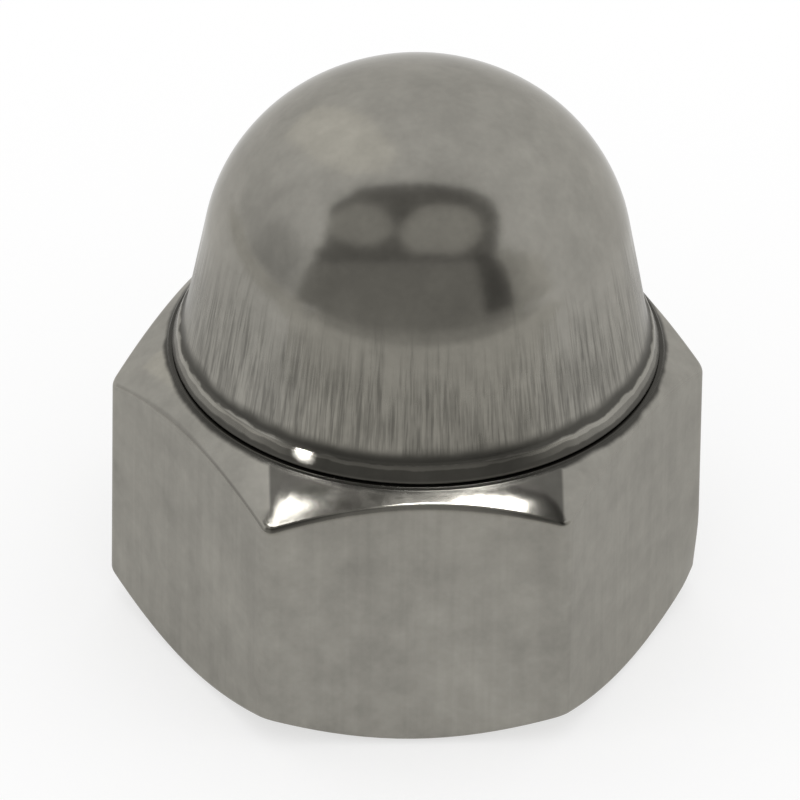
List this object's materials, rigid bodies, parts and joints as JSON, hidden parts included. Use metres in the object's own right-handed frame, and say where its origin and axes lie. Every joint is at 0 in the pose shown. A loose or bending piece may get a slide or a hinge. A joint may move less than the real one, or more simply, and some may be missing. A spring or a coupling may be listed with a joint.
{
  "type": "domed cap nut",
  "caption": "Hexagon cap nut that closes over a bolt's end: a threaded nut body with a domed sheet cap welded on its top.",
  "frame": {"origin": "centre of the hexagon on the bearing face", "axes": "+Z from the bearing face to the dome; two corners of the hexagon on the X axis, one flat facing -Y"},
  "size_m": [0.015, 0.013, 0.0151],
  "materials": {
    "nut_steel": "tumbled satin stainless steel, bright on its rounded shoulders",
    "cap_steel": "polished drawn stainless steel, with drawing marks up the leaning wall"
  },
  "bodies": {
    "root": {"nut_body": "nut_steel", "cap": "cap_steel"}
  },
  "joints": []
}
